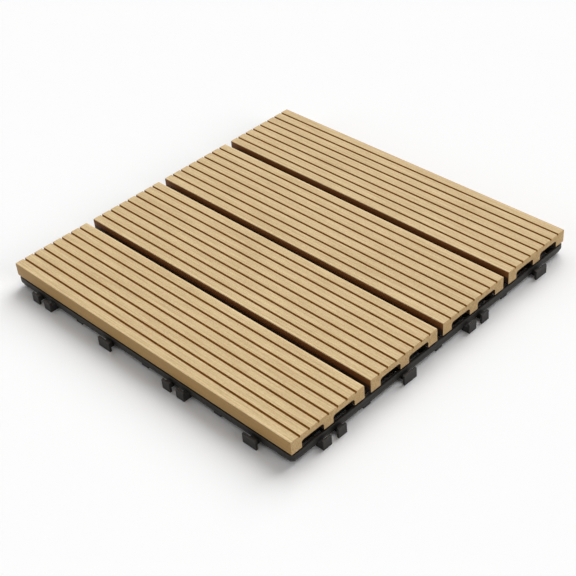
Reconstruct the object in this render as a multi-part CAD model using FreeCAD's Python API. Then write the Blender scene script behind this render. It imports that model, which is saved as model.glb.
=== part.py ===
import FreeCAD, Part
import math
import os

# Interlocking deck tile: four grooved planks screwed onto one moulded base grid.
# Millimetres. Origin on the ground at the middle of the tile, +X along the planks, +Z up.

# Planks
plank_count = 4
plank_length = 300.0
plank_width = 70.2
plank_thickness = 11.2
plank_gap = 6.4
groove_count = 7
groove_width = 1.5
groove_depth = 1.5
rib_edge_chamfer = 0.35
plank_edge_radius = 0.9
side_leg_width = 9.8
middle_leg_width = 9.0
relief_depth = 6.0
relief_corner_radius = 2.4

# Base grid
ground_gap = 2.0
rim_height = 7.0
rim_wall = 2.0
rim_corner_radius = 3.0
rim_foot_bevel = 1.2
rim_foot_bevel_height = 3.2
seat_rise = 1.8
seat_setback = 1.2
grid_rib = 1.9
cells_per_plank = 3
boss_width = 11.0
edge_foot_length = 7.0
edge_foot_depth = 3.0
stud_width = 8.0
post_corner = 1.6

# Locking lugs
lug_reach = 5.2
lug_height = 8.0
lug_web_height = 4.8
lock_play = 0.2
tab_head_width = 12.8
tab_neck_width = 5.4
socket_side_play = 0.4
mouth_side_play = 0.6
prong_wall = 4.6

# Screws
screws_per_plank = 2
screw_diameter = 3.6
screw_length = 12.0
screw_head_diameter = 7.0
screw_head_height = 2.3
screw_head_top = 5.4
screw_recess_width = 3.6
screw_recess_slot = 0.9
screw_recess_depth = 1.3
screw_seat_web = 4.0
screw_hole_clearance = 0.3
pilot_clearance = 0.05
pilot_extra_depth = 0.6
counterbore_clearance = 0.6

# How far a cutting shape runs past the face that it opens
cut_overrun = 1.0

# Sizes that follow
plank_pitch = plank_width + plank_gap
tile_length = plank_length
tile_width = plank_count * plank_width + (plank_count - 1) * plank_gap
rim_top = ground_gap + rim_height
seat_height = rim_top + seat_rise
deck_height = seat_height + plank_thickness
grid_pitch = plank_pitch / cells_per_plank
groove_rib = (plank_width - groove_count * groove_width) / (groove_count + 1)
relief_width = (plank_width - 2 * side_leg_width - middle_leg_width) / 2
socket_depth = (plank_gap + lock_play) / 2
socket_width = tab_head_width + 2 * socket_side_play
mouth_width = tab_neck_width + 2 * mouth_side_play
socket_outer_width = socket_width + 2 * prong_wall
screw_seat = seat_height - screw_seat_web


def vec(x, y, z):
    return FreeCAD.Vector(x, y, z)


def polygon_face(points):
    """Flat face inside straight edges through the points."""
    return Part.Face(Part.makePolygon(points + points[:1]))


def stations(span):
    """Centres of as many plank pitches as fit the span, spread evenly about its middle."""
    count = max(1, round(span / plank_pitch))
    return [(i - (count - 1) / 2) * plank_pitch for i in range(count)]


def plank_centres():
    return [(i - (plank_count - 1) / 2) * plank_pitch for i in range(plank_count)]


def screw_stations():
    """Stations along a plank that take a screw, spread from its first to its last."""
    places = stations(tile_length)
    gaps = max(1, screws_per_plank - 1)
    return [places[round(i * (len(places) - 1) / gaps)] for i in range(screws_per_plank)]


def screw_points():
    return [(x, y) for y in plank_centres() for x in screw_stations()]


def stud_points():
    """Rib crossings under the planks that have no screw."""
    return [(x, y) for y in plank_centres() for x in stations(tile_length) if x not in screw_stations()]


# Plank: an extruded section with grooves above and two relief pockets below

def groove_tool(y):
    """Section of one groove: chamfered mouth, straight walls and a flat bottom."""
    half = groove_width / 2
    mouth = half + rib_edge_chamfer
    top = plank_thickness
    above = top + cut_overrun
    side = [
        (half, top - groove_depth),
        (half, top - rib_edge_chamfer),
        (mouth, top),
        (mouth, above),
    ]
    right = [vec(0, y + a, z) for a, z in side]
    left = [vec(0, y - a, z) for a, z in reversed(side)]
    return polygon_face(right + left)


def relief_tool(y):
    """Section of one relief pocket: open below, with round upper corners."""
    half = relief_width / 2
    r = min(relief_corner_radius, half, relief_depth)
    below = -cut_overrun
    turn = r * (1 - math.cos(math.pi / 4))
    left_low = vec(0, y - half, below)
    left_high = vec(0, y - half, relief_depth - r)
    roof_left = vec(0, y - half + r, relief_depth)
    roof_right = vec(0, y + half - r, relief_depth)
    right_high = vec(0, y + half, relief_depth - r)
    right_low = vec(0, y + half, below)
    left_arc = Part.Arc(left_high, vec(0, y - half + turn, relief_depth - turn), roof_left)
    right_arc = Part.Arc(roof_right, vec(0, y + half - turn, relief_depth - turn), right_high)
    edges = [
        Part.LineSegment(left_low, left_high).toShape(),
        left_arc.toShape(),
        Part.LineSegment(roof_left, roof_right).toShape(),
        right_arc.toShape(),
        Part.LineSegment(right_high, right_low).toShape(),
        Part.LineSegment(right_low, left_low).toShape(),
    ]
    return Part.Face(Part.Wire(edges))


def plank_section():
    """Cross-section of a plank about its own centre line, standing on z = 0."""
    half = plank_width / 2
    r = plank_edge_radius
    turn = r * (1 - math.cos(math.pi / 4))
    top = plank_thickness
    low_left = vec(0, -half, 0)
    low_right = vec(0, half, 0)
    right_side = vec(0, half, top - r)
    right_top = vec(0, half - r, top)
    left_top = vec(0, -half + r, top)
    left_side = vec(0, -half, top - r)
    right_arc = Part.Arc(right_side, vec(0, half - turn, top - turn), right_top)
    left_arc = Part.Arc(left_top, vec(0, -half + turn, top - turn), left_side)
    edges = [
        Part.LineSegment(low_left, low_right).toShape(),
        Part.LineSegment(low_right, right_side).toShape(),
        right_arc.toShape(),
        Part.LineSegment(right_top, left_top).toShape(),
        left_arc.toShape(),
        Part.LineSegment(left_side, low_left).toShape(),
    ]
    section = Part.Face(Part.Wire(edges))
    first_groove = -half + groove_rib + groove_width / 2
    grooves = [groove_tool(first_groove + i * (groove_rib + groove_width)) for i in range(groove_count)]
    relief_offset = (middle_leg_width + relief_width) / 2
    reliefs = [relief_tool(-relief_offset), relief_tool(relief_offset)]
    return section.cut(grooves + reliefs).Faces[0]


def make_plank(y):
    """One plank resting on the base seats, with blind pilot holes for its screws."""
    section = plank_section()
    section.translate(vec(-plank_length / 2, y, seat_height))
    plank = section.extrude(vec(plank_length, 0, 0))
    radius = screw_diameter / 2 + pilot_clearance
    depth = screw_length - screw_seat_web + pilot_extra_depth
    for x in screw_stations():
        plank = plank.cut(Part.makeCylinder(radius, depth, vec(x, y, seat_height)))
    return plank


# Base grid: rim, lattice, seats, bosses, feet and lugs, moulded in one piece

def rounded_rectangle(length, width, radius, z):
    """Wire of a rectangle with round corners about the origin."""
    box = polygon_face([
        vec(-length / 2, -width / 2, z),
        vec(length / 2, -width / 2, z),
        vec(length / 2, width / 2, z),
        vec(-length / 2, width / 2, z),
    ])
    solid = box.extrude(vec(0, 0, 1))
    uprights = [e for e in solid.Edges if e.BoundBox.ZLength > e.BoundBox.XLength + e.BoundBox.YLength]
    solid = solid.makeFillet(radius, uprights)
    floor = min(solid.Faces, key=lambda f: f.CenterOfMass.z)
    return floor.OuterWire


def grid_lines(span):
    """Rib centre lines across a span: one under each station and its neighbours."""
    limit = span / 2 - rim_wall - grid_rib
    steps = range(-(cells_per_plank // 2), cells_per_plank // 2 + 1)
    lines = sorted({round(s + k * grid_pitch, 6) for s in stations(span) for k in steps})
    return [p for p in lines if abs(p) < limit]


def free_spans(span, lines):
    """Open stretches between the rim and the ribs along one direction."""
    edges = [-span / 2 + rim_wall]
    for p in lines:
        edges += [p - grid_rib / 2, p + grid_rib / 2]
    edges.append(span / 2 - rim_wall)
    return list(zip(edges[0::2], edges[1::2]))


def make_lattice():
    """Rim and crossing ribs: one flat face with a hole for each cell, drawn up to the rim's height."""
    columns = free_spans(tile_length, grid_lines(tile_length))
    rows = free_spans(tile_width, grid_lines(tile_width))
    outer = rounded_rectangle(tile_length, tile_width, rim_corner_radius, ground_gap)
    cells = []
    for x0, x1 in columns:
        for y0, y1 in rows:
            corners = [vec(x0, y0, ground_gap), vec(x1, y0, ground_gap),
                       vec(x1, y1, ground_gap), vec(x0, y1, ground_gap)]
            cells.append(Part.makePolygon(corners + corners[:1]))
    face = Part.makeFace([outer] + cells, "Part::FaceMakerBullseye")
    return face.extrude(vec(0, 0, rim_height)).common(rim_envelope())


def rim_envelope():
    """Outer form of the rim: straight sides above a foot that slopes inwards."""
    slope = 2 * rim_foot_bevel
    bend = ground_gap + rim_foot_bevel_height
    foot = rounded_rectangle(tile_length - slope, tile_width - slope, rim_corner_radius, ground_gap)
    waist = rounded_rectangle(tile_length, tile_width, rim_corner_radius, bend)
    sloped = Part.makeLoft([foot, waist], True, True)
    upright = Part.Face(waist).extrude(vec(0, 0, rim_top - bend))
    return sloped.fuse(upright)


def seat_lines():
    """Cross ribs that carry the planks: those under the stations and the outermost two."""
    lines = grid_lines(tile_length)
    under = [p for p in lines if any(abs(p - s) < grid_rib for s in stations(tile_length))]
    return sorted({lines[0], lines[-1], *under})


def make_seats():
    """Raised crests of the carrying ribs, set back behind the rim."""
    length = tile_width - 2 * (rim_wall + seat_setback)
    seats = []
    for x in seat_lines():
        corner = vec(x - grid_rib / 2, -length / 2, ground_gap)
        seats.append(Part.makeBox(grid_rib, length, seat_height - ground_gap, corner))
    return seats


def post(x, y, width, height):
    """Square post with bevelled corners, standing on the ground."""
    far = width / 2
    near = far - post_corner
    corners = [(near, -far), (far, -near), (far, near), (near, far),
               (-near, far), (-far, near), (-far, -near), (-near, -far)]
    face = polygon_face([vec(x + a, y + b, 0) for a, b in corners])
    return face.extrude(vec(0, 0, height))


def make_posts():
    """Bosses that carry the screws, and lower studs under the other crossings."""
    bosses = [post(x, y, boss_width, seat_height) for x, y in screw_points()]
    studs = [post(x, y, stud_width, rim_top) for x, y in stud_points()]
    return bosses + studs


def screw_holes():
    """Stepped holes up through the bosses: a counterbore for the head, then the shank."""
    bore = (screw_head_diameter + counterbore_clearance) / 2
    shank = (screw_diameter + screw_hole_clearance) / 2
    holes = []
    for x, y in screw_points():
        holes.append(Part.makeCylinder(bore, screw_seat + cut_overrun, vec(x, y, -cut_overrun)))
        holes.append(Part.makeCylinder(shank, deck_height, vec(x, y, 0)))
    return holes


def lug_block(near, far, inner, outer, height):
    """Upright block on the ground outside the front side: near to far along it, inner to outer away from it."""
    return Part.makeBox(far - near, outer - inner, height, vec(near, -outer, 0))


def tab():
    """Tab that drops into a neighbour's socket: an upright head plate on a lower, narrower neck."""
    neck = tab_neck_width / 2
    head = tab_head_width / 2
    return [
        lug_block(-neck, neck, -rim_wall, socket_depth, lug_web_height),
        lug_block(-head, head, socket_depth, lug_reach, lug_height),
    ]


def socket():
    """Two prongs with a mouth between them: upright plates that close a slot, each on a lower side wall."""
    outer = socket_outer_width / 2
    inner = socket_width / 2
    mouth = mouth_width / 2
    return [
        lug_block(-outer, -inner, -rim_wall, socket_depth, lug_web_height),
        lug_block(inner, outer, -rim_wall, socket_depth, lug_web_height),
        lug_block(-outer, -mouth, socket_depth, lug_reach, lug_height),
        lug_block(mouth, outer, socket_depth, lug_reach, lug_height),
    ]


def make_lugs():
    """Sockets and tabs in turn, counter-clockwise round the tile, standing on the ground."""
    lugs = []
    for side in range(4):
        along = tile_length if side % 2 == 0 else tile_width
        across = tile_width if side % 2 == 0 else tile_length
        for i, s in enumerate(stations(along)):
            for block in socket() if i % 2 == 0 else tab():
                block.translate(vec(s, -across / 2, 0))
                block.rotate(vec(0, 0, 0), vec(0, 0, 1), 90 * side)
                lugs.append(block)
    return lugs


def make_edge_feet():
    """Small feet under the rim, halfway between the lugs."""
    feet = []
    for side in range(4):
        along = tile_length if side % 2 == 0 else tile_width
        across = tile_width if side % 2 == 0 else tile_length
        points = stations(along)
        for a, b in zip(points, points[1:]):
            corner = vec((a + b) / 2 - edge_foot_length / 2, rim_foot_bevel - across / 2, 0)
            foot = Part.makeBox(edge_foot_length, edge_foot_depth, ground_gap + rim_wall, corner)
            foot.rotate(vec(0, 0, 0), vec(0, 0, 1), 90 * side)
            feet.append(foot)
    return feet


def make_base_grid():
    pieces = make_seats() + make_posts() + make_lugs() + make_edge_feet()
    base = make_lattice().fuse(pieces)
    base = base.cut(screw_holes())
    return base.removeSplitter()


# Screws: pan head with a crossed recess and a blunt shank, driven upwards from below

def make_screw(x, y):
    head = screw_head_diameter / 2
    crown = screw_head_top / 2
    shank = screw_diameter / 2
    low = screw_seat - screw_head_height
    tip = screw_seat + screw_length
    profile = polygon_face([
        vec(0, 0, low),
        vec(crown, 0, low),
        vec(head, 0, screw_seat),
        vec(shank, 0, screw_seat),
        vec(shank, 0, tip),
        vec(0, 0, tip),
    ])
    screw = profile.revolve(vec(0, 0, 0), vec(0, 0, 1), 360)
    width = screw_recess_width
    slot = screw_recess_slot
    below = low - cut_overrun
    depth = screw_recess_depth + cut_overrun
    blades = [
        Part.makeBox(width, slot, depth, vec(-width / 2, -slot / 2, below)),
        Part.makeBox(slot, width, depth, vec(-slot / 2, -width / 2, below)),
    ]
    screw = screw.cut(blades)
    screw.translate(vec(x, y, 0))
    return screw.Solids[0]


def make_screws():
    return Part.makeCompound([make_screw(x, y) for x, y in screw_points()])


def main():
    os.makedirs("parts", exist_ok=True)
    for i, y in enumerate(plank_centres()):
        make_plank(y).exportStep("parts/plank_%d.step" % (i + 1))
    make_base_grid().exportStep("parts/base_grid.step")
    make_screws().exportStep("parts/plank_screws.step")


main()
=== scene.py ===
import bmesh
import bpy
import math
import numpy as np
from mathutils import Euler, Matrix, Vector


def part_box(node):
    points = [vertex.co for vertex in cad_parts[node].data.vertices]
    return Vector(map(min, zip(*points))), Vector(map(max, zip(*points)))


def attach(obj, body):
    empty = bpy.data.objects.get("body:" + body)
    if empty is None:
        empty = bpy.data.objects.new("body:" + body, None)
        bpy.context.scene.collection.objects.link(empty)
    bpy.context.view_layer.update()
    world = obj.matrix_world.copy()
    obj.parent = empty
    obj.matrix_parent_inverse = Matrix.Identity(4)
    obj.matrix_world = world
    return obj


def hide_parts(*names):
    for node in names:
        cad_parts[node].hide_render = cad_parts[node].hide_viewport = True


# Interlocking deck tile: four grooved planks screwed onto a moulded base grid. Metres, +Z up.

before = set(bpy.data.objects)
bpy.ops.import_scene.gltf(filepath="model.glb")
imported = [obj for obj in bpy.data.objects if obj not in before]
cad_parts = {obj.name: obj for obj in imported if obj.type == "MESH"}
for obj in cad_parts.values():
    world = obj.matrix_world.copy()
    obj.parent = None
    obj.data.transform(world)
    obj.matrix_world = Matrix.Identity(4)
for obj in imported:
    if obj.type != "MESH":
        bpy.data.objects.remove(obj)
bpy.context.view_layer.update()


# Planks
# Each plank is wood flour and plastic pressed through a die, so it has one section from end to end. Its
# ribs are sanded, with a painted highlight along its long edges, and its ends are sawn. The rest keeps
# the skin of the die, which is darker in the grooves, partly as painted shade, and in the relief and on
# the sides that face another plank is painted shade that turns to an almost black painted shadow below
# half the height.

mm = 0.001
plank_names = ["plank_%d" % (i + 1) for i in range(4)]
groove_count = 7
groove_width = 1.5 * mm
groove_depth = 1.5 * mm
groove_fillet = 0.45 * mm
rib_rounding = 0.35 * mm
plank_rounding = 0.9 * mm
foot_rounding = 0.35 * mm
side_leg = 9.8 * mm
middle_leg = 9.0 * mm
relief_depth = 6.0 * mm
relief_fillet = 2.4 * mm
sanding_step = 0.32 * mm
sanding_depth = 0.035 * mm
sanding_run = 22 * mm
first_sanding_seed = 11
saw_rounding = 0.14 * mm
saw_rows = 3
row_step = 8 * mm
fillet_steps = 8
lip_steps = 4
foot_steps = 5
pilot_width = 3.7 * mm
pilot_depth = 8.6 * mm
pilot_sides = 42
plank_crease = math.radians(50)
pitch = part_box("plank_2")[0].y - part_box("plank_1")[0].y
screw_stations = (-1.5 * pitch, 1.5 * pitch)

# Places in a plank's list of finishes
rib_face, die_skin, sawn_end, groove, gap, painted_edge_highlight = range(6)

# Where finishes meet, as shares of a plank's half width, measured from its middle
flank_start = 0.96
gap_side_start = 0.98
edge_highlight_start = 0.955
unsanded_edge_start = 0.965


def turn(y, z, radius, start, end, steps):
    """Points of an arc: centre plus radius times the cosine and sine of an angle from start to end."""
    angle = np.radians(np.linspace(start, end, steps + 1))
    return np.stack([y + radius * np.cos(angle), z + radius * np.sin(angle)], axis=1)


def plank_outline(width, thickness):
    """Section of a plank as (y, z), counter-clockwise seen from +X, about its centre line and its foot.
    Straight runs join arcs, and each rib's face is cut into short steps that the sanding then moves."""
    half = width / 2
    rib = (width - groove_count * groove_width) / (groove_count + 1)
    foot, fillet, edge = foot_rounding, relief_fillet, plank_rounding
    roof = relief_depth - fillet
    runs = []
    legs = [(-half, -half + side_leg), (-middle_leg / 2, middle_leg / 2), (half - side_leg, half)]
    for i, (left, right) in enumerate(legs):
        if i > 0:
            runs.append(turn(left - fillet, roof, fillet, 90, 0, fillet_steps))
        runs.append(turn(left + foot, foot, foot, 180, 270, foot_steps))
        runs.append(turn(right - foot, foot, foot, 270, 360, foot_steps))
        if i < len(legs) - 1:
            runs.append(turn(right + fillet, roof, fillet, 180, 90, fillet_steps))
    runs.append(turn(half - edge, thickness - edge, edge, 0, 90, fillet_steps))
    steps = round(rib / sanding_step)
    lip, hollow = rib_rounding, groove_fillet
    low = thickness - groove_depth + hollow
    for i in range(groove_count + 1):
        right = half - i * (rib + groove_width)
        left = right - rib
        start = right - (edge if i == 0 else lip)
        end = left + (edge if i == groove_count else lip)
        face = np.linspace(start, end, steps + 1)[1:-1]
        runs.append(np.stack([face, np.full(len(face), thickness)], axis=1))
        if i < groove_count:
            far_wall = left - groove_width
            runs.append(turn(left + lip, thickness - lip, lip, 90, 180, lip_steps))
            runs.append(turn(left - hollow, low, hollow, 0, -90, lip_steps))
            runs.append(turn(far_wall + hollow, low, hollow, -90, -180, lip_steps))
            runs.append(turn(far_wall - lip, thickness - lip, lip, 0, 90, lip_steps))
    runs.append(turn(-half + edge, thickness - edge, edge, 90, 180, fillet_steps))
    return np.concatenate(runs)


def outward(outline):
    """Unit normals of a closed outline: its tangent, from neighbour to neighbour, turned a quarter
    clockwise."""
    tangent = np.roll(outline, -1, axis=0) - np.roll(outline, 1, axis=0)
    normal = np.stack([tangent[:, 1], -tangent[:, 0]], axis=1)
    return normal / np.linalg.norm(normal, axis=1, keepdims=True)


def drifting_lines(columns, along, step, rng):
    """One random value for each column that drifts slowly along the length: a knot at every step, with
    a straight blend from knot to knot."""
    reach = (along - along[0]) / step
    before = reach.astype(int)
    share = (reach - before)[:, None]
    knots = rng.random((before[-1] + 2, columns))
    return (1 - share) * knots[before] + share * knots[before + 1]


def swept_mesh(name, points):
    """Mesh of a grid of points, rows by columns, closed round its columns and capped at both ends."""
    rows, columns = points.shape[:2]
    index = np.arange(rows * columns).reshape(rows, columns)
    beside = np.roll(index, -1, axis=1)
    quads = np.stack([index[:-1], beside[:-1], beside[1:], index[1:]], axis=-1).reshape(-1, 4)
    faces = quads.tolist() + [index[0, ::-1].tolist(), index[-1].tolist()]
    mesh = bpy.data.meshes.new(name)
    mesh.from_pydata(points.reshape(-1, 3).tolist(), [], faces)
    return mesh


def section_finishes(outline, width, thickness, neighbours):
    """Finish of each edge of the section, by the place of its middle: its height, its depth below the
    ribs and its share of the half width. Neighbours lists -1 or 1 for each side that a plank faces."""
    below_grooves = 1.1 * groove_depth
    above_feet = 1.5 * foot_rounding
    above_relief = 1.1 * relief_depth
    sanded_lip = 0.15 * rib_rounding
    sanded_rounding = 0.5 * plank_rounding
    middle = (outline + np.roll(outline, -1, axis=0)) / 2
    height = middle[:, 1]
    depth = thickness - height
    across = 2 * middle[:, 0] / width
    inside = np.abs(across) < flank_start
    finish = np.full(len(outline), die_skin)
    # Grooves and their lips: die skin, partly darkened by painted shade.
    finish[inside & (depth < below_grooves)] = groove
    # The relief and the sides that face another plank get painted shade and painted shadow.
    finish[inside & (height > above_feet) & (height < above_relief)] = gap
    for side in neighbours:
        finish[across * side > gap_side_start] = gap
    finish[inside & (depth < sanded_lip)] = rib_face
    finish[~inside & (depth < sanded_rounding)] = rib_face
    # Painted highlight: lighter tones on the upper part of the long edges' rounding.
    finish[(np.abs(across) > edge_highlight_start) & (depth < sanded_rounding)] = painted_edge_highlight
    if 1 not in neighbours:
        finish[across > unsanded_edge_start] = die_skin
    return finish


def plank_mesh(name, seed, neighbours):
    """Section carried along X: (x, y, z) = (v, outline(u)), less the sanding and the rounding of the
    sawn edges, which draws the section in along its normals."""
    low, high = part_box(name)
    width, thickness = high.y - low.y, high.z - low.z
    outline = plank_outline(width, thickness)
    normal = outward(outline)
    inner = np.arange(low.x + saw_rounding, high.x - saw_rounding, row_step)
    bend = np.radians(np.linspace(0, 90, saw_rows + 1))
    rise = saw_rounding * (1 - np.sin(bend))
    shrink = np.concatenate([rise, np.zeros(len(inner) - 1), rise[::-1]])[:, None]
    start = low.x + saw_rounding * (1 - np.cos(bend))
    end = high.x - saw_rounding * (1 - np.cos(bend[::-1]))
    along = np.concatenate([start, inner[1:], end])
    lines = drifting_lines(len(outline), along, sanding_run, np.random.default_rng(seed))
    sanded = outline[:, 1] > thickness - 0.01 * mm
    y = outline[:, 0] + (low.y + high.y) / 2 - shrink * normal[:, 0]
    z = outline[:, 1] + low.z - shrink * normal[:, 1] - sanding_depth * lines * sanded
    x = np.broadcast_to(along[:, None], y.shape)
    mesh = swept_mesh(name + "_mesh", np.stack([x, y, z], axis=-1))
    zones = np.tile(section_finishes(outline, width, thickness, neighbours), (len(along) - 1, 1))
    zones[:saw_rows] = zones[-saw_rows:] = sawn_end
    zones = np.append(zones.ravel(), [sawn_end, sawn_end]).astype(np.int32)
    mesh.polygons.foreach_set("material_index", zones)
    mesh.polygons.foreach_set("use_smooth", np.ones(len(mesh.polygons), bool))
    mesh.set_sharp_from_angle(angle=plank_crease)
    return mesh


def place(name, mesh, materials):
    """Object at the origin that holds a finished mesh and its materials."""
    for material in materials:
        mesh.materials.append(material)
    piece = bpy.data.objects.new(name, mesh)
    bpy.context.scene.collection.objects.link(piece)
    return piece


def settle(piece):
    """Put what the piece's modifiers make into its mesh."""
    evaluated = piece.evaluated_get(bpy.context.evaluated_depsgraph_get())
    mesh = bpy.data.meshes.new_from_object(evaluated)
    piece.modifiers.clear()
    piece.data = mesh
    return mesh


def shader(name, roughness):
    """New material with its node tree and its surface shader."""
    material = bpy.data.materials.new(name)
    material.use_nodes = True
    surface = material.node_tree.nodes["Principled BSDF"]
    surface.inputs["Roughness"].default_value = roughness
    return material, material.node_tree, surface


def grain(tree, size, detail):
    """Noise on object coordinates, whose grains have the given size along X, Y and Z."""
    coordinates = tree.nodes.new("ShaderNodeTexCoord")
    mapping = tree.nodes.new("ShaderNodeMapping")
    mapping.inputs["Scale"].default_value = [1 / s for s in size]
    noise = tree.nodes.new("ShaderNodeTexNoise")
    noise.inputs["Scale"].default_value = 1.0
    noise.inputs["Detail"].default_value = detail
    tree.links.new(coordinates.outputs["Object"], mapping.inputs["Vector"])
    tree.links.new(mapping.outputs["Vector"], noise.inputs["Vector"])
    return noise.outputs["Fac"]


def spread(tree, value, low, high, start=0.3, end=0.7):
    """Value stretched from start and end to low and high."""
    node = tree.nodes.new("ShaderNodeMapRange")
    node.inputs["From Min"].default_value = start
    node.inputs["From Max"].default_value = end
    node.inputs["To Min"].default_value = low
    node.inputs["To Max"].default_value = high
    tree.links.new(value, node.inputs["Value"])
    return node.outputs["Result"]


def summed(tree, values):
    """Sum of several values."""
    total = values[0]
    for value in values[1:]:
        node = tree.nodes.new("ShaderNodeMath")
        tree.links.new(total, node.inputs[0])
        tree.links.new(value, node.inputs[1])
        total = node.outputs[0]
    return total


def toned(tree, surface, value, tones):
    """Surface colour from a value: evenly spaced tones from 0 to 1."""
    ramp = tree.nodes.new("ShaderNodeValToRGB")
    stops = ramp.color_ramp.elements
    while len(stops) < len(tones):
        stops.new(0.5)
    for i, tone in enumerate(tones):
        stops[i].position = i / (len(tones) - 1)
        stops[i].color = (*tone, 1)
    tree.links.new(value, ramp.inputs["Fac"])
    tree.links.new(ramp.outputs["Color"], surface.inputs["Base Color"])


def bumped(tree, surface, value, height):
    """Fine relief of the given height from a value."""
    bump = tree.nodes.new("ShaderNodeBump")
    bump.inputs["Distance"].default_value = height
    tree.links.new(value, bump.inputs["Height"])
    tree.links.new(bump.outputs["Normal"], surface.inputs["Normal"])


def sanded_wood_plastic(name, tones):
    """Light face of the ribs: lengthwise sanding streaks, short fibres and a slow drift of tone."""
    material, tree, surface = shader(name, 0.72)
    hair = grain(tree, (24 * mm, 0.6 * mm, 0.6 * mm), 2)
    band = grain(tree, (60 * mm, 1.6 * mm, 1.6 * mm), 1)
    cloud = grain(tree, (48 * mm, 24 * mm, 24 * mm), 2)
    fibre = grain(tree, (1.8 * mm, 0.6 * mm, 0.6 * mm), 2)
    value = summed(tree, [
        spread(tree, hair, 0.0, 0.40),
        spread(tree, band, 0.0, 0.17, 0.35, 0.65),
        spread(tree, cloud, 0.0, 0.10, 0.35, 0.65),
        spread(tree, fibre, 0.0, 0.33),
    ])
    toned(tree, surface, value, tones)
    bumped(tree, surface, hair, 0.05 * mm)
    return material


def groove_skin_and_painted_shade():
    """Grooves and their lips: unsanded die skin, darker than on the outer sides partly by its own tone
    and partly by painted shade.
    """
    material, tree, surface = shader("groove_skin_and_painted_shade", 0.65)
    drawn = grain(tree, (30 * mm, 0.5 * mm, 0.5 * mm), 2)
    toned(tree, surface, spread(tree, drawn, 0.0, 1.0), [(0.26, 0.12, 0.010), (0.40, 0.19, 0.018)])
    bumped(tree, surface, drawn, 0.04 * mm)
    return material


def painted_gap_shade(low, high):
    """Sides in the gaps and the relief: die skin with painted shade, far darker than on the outer sides,
    and a painted shadow that turns it almost black below half the height from low to high."""
    material, tree, surface = shader("painted_gap_shade", 0.7)
    fade = 0.8 * mm
    drawn = grain(tree, (30 * mm, 0.5 * mm, 0.5 * mm), 2)
    parts = tree.nodes.new("ShaderNodeSeparateXYZ")
    tree.links.new(tree.nodes.new("ShaderNodeTexCoord").outputs["Object"], parts.inputs["Vector"])
    middle = (low + high) / 2
    # Painted shadow: almost black below the middle height, dark brown above it.
    height = spread(tree, parts.outputs["Z"], 0.0, 0.7, middle - fade, middle + fade)
    value = summed(tree, [height, spread(tree, drawn, 0.0, 0.3)])
    toned(tree, surface, value, [(0.012, 0.007, 0.004), (0.11, 0.04, 0.006), (0.27, 0.10, 0.014)])
    bumped(tree, surface, drawn, 0.04 * mm)
    return material


def extruded_skin():
    """Skin that the die leaves on the outer sides and the feet, with fine speckle."""
    material, tree, surface = shader("extruded_skin", 0.6)
    drawn = grain(tree, (40 * mm, 0.6 * mm, 0.6 * mm), 2)
    speck = grain(tree, (0.9 * mm, 0.6 * mm, 0.6 * mm), 2)
    value = summed(tree, [spread(tree, drawn, 0.1, 0.5), spread(tree, speck, 0.0, 0.5)])
    toned(tree, surface, value, [(0.385, 0.217, 0.067), (0.465, 0.273, 0.090), (0.55, 0.338, 0.118)])
    bumped(tree, surface, speck, 0.05 * mm)
    return material


def sawn_ends():
    """Cut ends: broken fibres and plastic show as light and dark specks, with faint upright saw lines."""
    material, tree, surface = shader("sawn_ends", 0.8)
    speck = grain(tree, (0.7 * mm, 0.7 * mm, 0.7 * mm), 3)
    patch = grain(tree, (5 * mm, 4 * mm, 4 * mm), 1)
    saw = grain(tree, (3 * mm, 0.35 * mm, 6 * mm), 1)
    value = summed(tree, [
        spread(tree, speck, 0.0, 0.55),
        spread(tree, patch, 0.05, 0.25),
        spread(tree, saw, 0.0, 0.2),
    ])
    toned(tree, surface, value, [(0.43, 0.27, 0.11), (0.565, 0.375, 0.172), (0.76, 0.555, 0.30)])
    bumped(tree, surface, speck, 0.12 * mm)
    return material


def tube_mesh(name, places, width, low, high, sides):
    """Closed upright cylinders: rings of radius times the cosine and sine of an angle, at two heights."""
    angle = np.linspace(0, 2 * math.pi, sides, endpoint=False)
    ring = np.stack([np.cos(angle), np.sin(angle)], axis=1) * width / 2
    build = bmesh.new()
    for x, y in places:
        rings = [np.column_stack([ring + (x, y), np.full(sides, z)]) for z in (low, high)]
        tube = swept_mesh(name, np.stack(rings))
        build.from_mesh(tube)
        bpy.data.meshes.remove(tube)
    mesh = bpy.data.meshes.new(name)
    build.to_mesh(mesh)
    build.free()
    return mesh


def bore(plank, name):
    """Cut the plank's blind pilot holes from below."""
    low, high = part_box(name)
    places = [(x, (low.y + high.y) / 2) for x in screw_stations]
    start, end = low.z - 1 * mm, low.z + pilot_depth
    drill_mesh = tube_mesh("drill_mesh", places, pilot_width, start, end, pilot_sides)
    finish = np.full(len(drill_mesh.polygons), die_skin, np.int32)
    drill_mesh.polygons.foreach_set("material_index", finish)
    drill = place("drill", drill_mesh, plank_finishes)
    cut = plank.modifiers.new("pilot_holes", "BOOLEAN")
    cut.object = drill
    mesh = settle(plank)
    bpy.data.objects.remove(drill)
    mesh.set_sharp_from_angle(angle=plank_crease)


plank_low, plank_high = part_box("plank_1")
face_tones = [(0.425, 0.28, 0.121), (0.605, 0.436, 0.222), (0.785, 0.60, 0.334)]
# Lighter tones for the long edges: a painted highlight where their rounding catches the light.
edge_highlight_tones = [(0.495, 0.33, 0.145), (0.70, 0.512, 0.265), (0.88, 0.685, 0.39)]
# The groove finish is partly painted shade; the gap finish is painted shade and painted shadow.
plank_finishes = [
    sanded_wood_plastic("sanded_face", face_tones),
    extruded_skin(),
    sawn_ends(),
    groove_skin_and_painted_shade(),
    painted_gap_shade(plank_low.z, plank_high.z),
    sanded_wood_plastic("painted_edge_highlight", edge_highlight_tones),
]
for i, name in enumerate(plank_names):
    neighbours = [side for side in (-1, 1) if 0 <= i + side < len(plank_names)]
    section_mesh = plank_mesh(name, first_sanding_seed + i, neighbours)
    plank = place(name + "_board", section_mesh, plank_finishes)
    bore(plank, name)
    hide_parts(name)
    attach(plank, "root")


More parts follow.
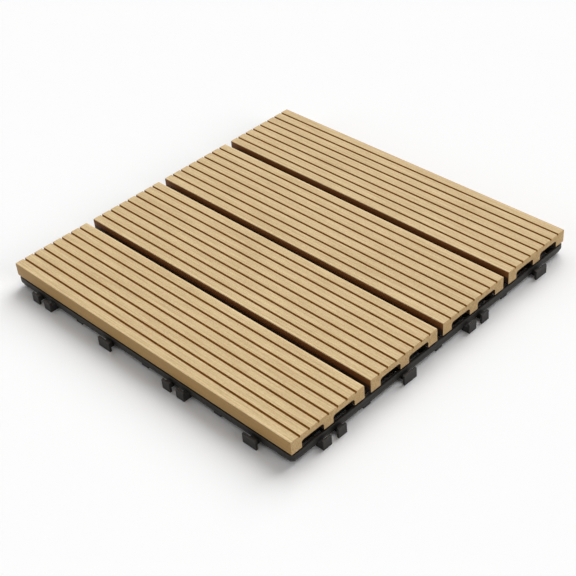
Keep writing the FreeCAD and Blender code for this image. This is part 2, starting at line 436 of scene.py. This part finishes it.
# Base grid
# One injection moulding of black plastic: a rim and crossing ribs, raised seats under the planks, posts
# for the screws and the locking lugs. The mould leaves every edge slightly round and a fine grain on the
# faces.

edge_softness = 0.22 * mm
base_crease = math.radians(35)
merging_distance = 0.002 * mm
flat_within = math.radians(1)


def merged_copy(node):
    """Copy of a node's mesh with its doubles merged and its flat faces joined."""
    build = bmesh.new()
    build.from_mesh(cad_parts[node].data)
    bmesh.ops.remove_doubles(build, verts=build.verts, dist=merging_distance)
    bmesh.ops.dissolve_limit(build, angle_limit=flat_within, verts=build.verts, edges=build.edges)
    mesh = bpy.data.meshes.new(node + "_soft_mesh")
    build.to_mesh(mesh)
    build.free()
    mesh.materials.clear()
    mesh.polygons.foreach_set("use_smooth", np.ones(len(mesh.polygons), bool))
    mesh.set_sharp_from_angle(angle=base_crease)
    return mesh


def moulded_black_plastic():
    """Black plastic with a satin mould grain and faint drift of gloss."""
    material, tree, surface = shader("moulded_black_plastic", 0.42)
    cell = grain(tree, (0.35 * mm, 0.35 * mm, 0.35 * mm), 2)
    flow = grain(tree, (18 * mm, 18 * mm, 18 * mm), 2)
    surface.inputs["Specular IOR Level"].default_value = 0.38
    tone = spread(tree, flow, 0.0, 1.0)
    toned(tree, surface, tone, [(0.017, 0.015, 0.0128), (0.029, 0.0255, 0.022)])
    tree.links.new(spread(tree, flow, 0.42, 0.56), surface.inputs["Roughness"])
    bumped(tree, surface, cell, 0.03 * mm)
    return material


moulding = place("base_moulding", merged_copy("base_grid"), [moulded_black_plastic()])
rounding = moulding.modifiers.new("rounded_edges", "BEVEL")
rounding.width = edge_softness
rounding.segments = 2
rounding.limit_method = "ANGLE"
rounding.angle_limit = base_crease
finished = settle(moulding)

# The rounding may overshoot a hair at tight corners, so it is held inside the moulding's own box.
corners = np.empty(3 * len(finished.vertices), np.float32)
finished.vertices.foreach_get("co", corners)
held = np.clip(corners.reshape(-1, 3), *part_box("base_grid"))
finished.vertices.foreach_set("co", held.ravel())
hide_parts("base_grid")
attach(moulding, "root")


# Plank screws
# Pan-head screws of zinc-plated steel, two for each plank. They are driven up through the posts of the
# base into the plank's middle leg, and their heads lie in the counterbores.

screw_size = 3.6 * mm
screw_core = 2.5 * mm
thread_pitch = 1.35 * mm
thread_runout = 1.2 * mm
head_width = 7.0 * mm
head_height = 2.3 * mm
head_crown = 5.4 * mm
recess_reach = 1.8 * mm
recess_half_slot = 0.42 * mm
recess_depth = 1.3 * mm
recess_wall = 0.12 * mm
pole_hole = 0.03 * mm
screw_sides = 72
crown_rows = 34
lip_rows = 7
rows_per_turn = 14
tip_rows = 6
screw_crease = math.radians(38)
turns_seed = 5

# Shares: of the thread's pitch, of the recess's depth, of the head's height and of the core's width
crest_half_width = 0.0625
flank_width = 0.25
recess_taper = 0.35
crown_rise = 0.16
point_width = 0.55


def cross_recess(radius, angle):
    """Depth of the crossed recess: full inside either arm, fading over a short wall, and shallower
    outwards."""
    fold = np.abs((angle + math.pi / 4) % (math.pi / 2) - math.pi / 4)
    along, across = radius * np.cos(fold), radius * np.sin(fold)
    inside = np.clip((recess_half_slot - across) / recess_wall + 0.5, 0, 1)
    inside *= np.clip((recess_reach - along) / (3 * recess_wall) + 0.5, 0, 1)
    return recess_depth * inside * (1 - recess_taper * along / recess_reach)


def thread_radius(height, angle):
    """Core radius plus a ridge that climbs one pitch for each turn: full over the crest and falling in a
    straight line over each flank."""
    phase = (height / thread_pitch - angle / (2 * math.pi)) % 1
    ridge = np.clip((crest_half_width + flank_width - np.abs(phase - 0.5)) / flank_width, 0, 1)
    return screw_core / 2 + (screw_size - screw_core) / 2 * ridge


def screw_mesh(name, x, y, low, high, turned):
    """Surface of turning: rows run from the pole of the head over its crown and lip, under the seat, up
    the thread and along the tip, which tapers to the point."""
    length = high - low
    angle = np.linspace(0, 2 * math.pi, screw_sides, endpoint=False) + turned
    crown = np.linspace(pole_hole, head_crown / 2, crown_rows)
    dome = head_height * crown_rise * (crown / (head_crown / 2)) ** 2
    lip = np.radians(np.linspace(0, 90, lip_rows))
    flank = head_crown / 2 + (head_width - head_crown) / 2 * np.sin(lip)
    flank_rise = head_height * (crown_rise + (1 - crown_rise) * (1 - np.cos(lip)))
    shank = np.arange(head_height, length - thread_runout, thread_pitch / rows_per_turn)
    tip = np.linspace(length - thread_runout, length, tip_rows)
    radius = np.concatenate([crown, flank[1:], np.zeros(len(shank) + len(tip))])
    height = np.concatenate([dome, flank_rise[1:], shank, tip])
    r = np.repeat(radius[:, None], screw_sides, axis=1)
    z = np.repeat(height[:, None], screw_sides, axis=1)
    a = np.broadcast_to(angle, r.shape)
    top = len(crown)
    z[:top] += cross_recess(r[:top], a[:top] - turned)
    body = top + len(flank) - 1
    taper = np.clip((length - z[body:]) / thread_runout, 0, 1)
    point = screw_core / 2 * point_width
    r[body:] = np.minimum(thread_radius(z[body:], a[body:]), point + (screw_size / 2 - point) * taper)
    return swept_mesh(name, np.stack([x + r * np.cos(a), y + r * np.sin(a), low + z], axis=-1))


def zinc_plated_steel():
    """Bright zinc with a faint drift of gloss."""
    material, tree, surface = shader("zinc_plated_steel", 0.34)
    surface.inputs["Metallic"].default_value = 1.0
    cloud = grain(tree, (2.2 * mm, 2.2 * mm, 2.2 * mm), 3)
    toned(tree, surface, cloud, [(0.52, 0.53, 0.54), (0.70, 0.71, 0.70)])
    tree.links.new(spread(tree, cloud, 0.26, 0.46), surface.inputs["Roughness"])
    bumped(tree, surface, cloud, 0.01 * mm)
    return material


screw_low, screw_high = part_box("plank_screws")
screw_count = len(plank_names) * len(screw_stations)
turns = np.random.default_rng(turns_seed).random(screw_count) * math.pi / 2
screws = bmesh.new()
for i, name in enumerate(plank_names):
    low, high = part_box(name)
    for j, x in enumerate(screw_stations):
        turned = turns[i * len(screw_stations) + j]
        one = screw_mesh("one_screw", x, (low.y + high.y) / 2, screw_low.z, screw_high.z, turned)
        screws.from_mesh(one)
        bpy.data.meshes.remove(one)
screws_mesh = bpy.data.meshes.new("screw_set_mesh")
screws.to_mesh(screws_mesh)
screws.free()
screws_mesh.polygons.foreach_set("use_smooth", np.ones(len(screws_mesh.polygons), bool))
screws_mesh.set_sharp_from_angle(angle=screw_crease)
screw_set = place("screw_set", screws_mesh, [zinc_plated_steel()])
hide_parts("plank_screws")
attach(screw_set, "root")


# Floor
# A plain white studio floor. It keeps the tile's soft shadow.

floor_reach = 3.0


def white_floor():
    """Matt white, full white to the camera, so that the lit floor meets the white background."""
    material, tree, surface = shader("white_floor", 1.0)
    seen = tree.nodes.new("ShaderNodeLightPath")
    tint = tree.nodes.new("ShaderNodeMix")
    tint.data_type = "RGBA"
    tint.inputs["A"].default_value = (0.8, 0.8, 0.8, 1)
    tint.inputs["B"].default_value = (1.0, 1.0, 1.0, 1)
    tree.links.new(seen.outputs["Is Camera Ray"], tint.inputs["Factor"])
    tree.links.new(tint.outputs["Result"], surface.inputs["Base Color"])
    surface.inputs["Specular IOR Level"].default_value = 0.0
    return material


floor_corners = np.array([(-1, -1, 0), (1, -1, 0), (1, 1, 0), (-1, 1, 0)]) * floor_reach
floor_mesh = bpy.data.meshes.new("floor_mesh")
floor_mesh.from_pydata(floor_corners.tolist(), [], [(0, 1, 2, 3)])
floor = place("floor", floor_mesh, [white_floor()])


# Light
# Two large soft lamps behind the tile, a low one on the right, a weak low one on the left, and even
# light from all round.

ambient = 0.14


def lamp(name, toward, level, softness):
    """Distant soft lamp; level is what it adds to the brightness of a white card that lies flat."""
    light = bpy.data.lights.new(name, "SUN")
    direction = Vector(toward).normalized()
    light.energy = math.pi * level / direction.z
    light.angle = math.radians(softness)
    holder = bpy.data.objects.new(name, light)
    holder.rotation_euler = direction.to_track_quat("Z", "Y").to_euler()
    bpy.context.scene.collection.objects.link(holder)


lamp("lamp_back", (-0.20, 1.0, 0.95), 0.555, 52)
lamp("lamp_back_left", (-0.97, 0.26, 0.85), 0.14, 60)
lamp("lamp_right", (1.0, 0.1, 0.45), 0.10, 30)
lamp("lamp_left", (-0.4, -1.0, 0.42), 0.045, 30)

world = bpy.data.worlds.new("white_room")
bpy.context.scene.world = world
world.use_nodes = True
room = world.node_tree
backdrop = room.nodes["Background"]
backdrop.inputs["Color"].default_value = (1, 1, 1, 1)
path = room.nodes.new("ShaderNodeLightPath")
rays = [path.outputs[kind] for kind in ("Is Camera Ray", "Is Glossy Ray", "Is Transmission Ray")]
level = spread(room, summed(room, rays), ambient, 1.0, 0.0, 1.0)
room.links.new(level, backdrop.inputs["Strength"])


# Camera
# It looks down on the corner between the first plank's long side and the sawn ends. Its axis meets the
# picture a little to the right of the middle.

camera_place = Vector((563.2, -513.0, 574.0)) * mm
azimuth = 46.61
elevation = 37.96
roll = -4.47
picture_width = 576
focal_length = 1219 / picture_width
axis_column = 310

optics = bpy.data.cameras.new("camera")
optics.sensor_width = 36.0
optics.lens = optics.sensor_width * focal_length
optics.shift_x = (picture_width / 2 - axis_column) / picture_width
optics.clip_start = 0.01
camera = bpy.data.objects.new("camera", optics)
tilt = Euler((math.radians(90 - elevation), 0, math.radians(azimuth))).to_matrix().to_4x4()
lean = Matrix.Rotation(math.radians(roll), 4, "Z")
camera.matrix_world = Matrix.Translation(camera_place) @ tilt @ lean
bpy.context.scene.collection.objects.link(camera)
bpy.context.scene.camera = camera
bpy.context.scene.view_settings.view_transform = "Standard"
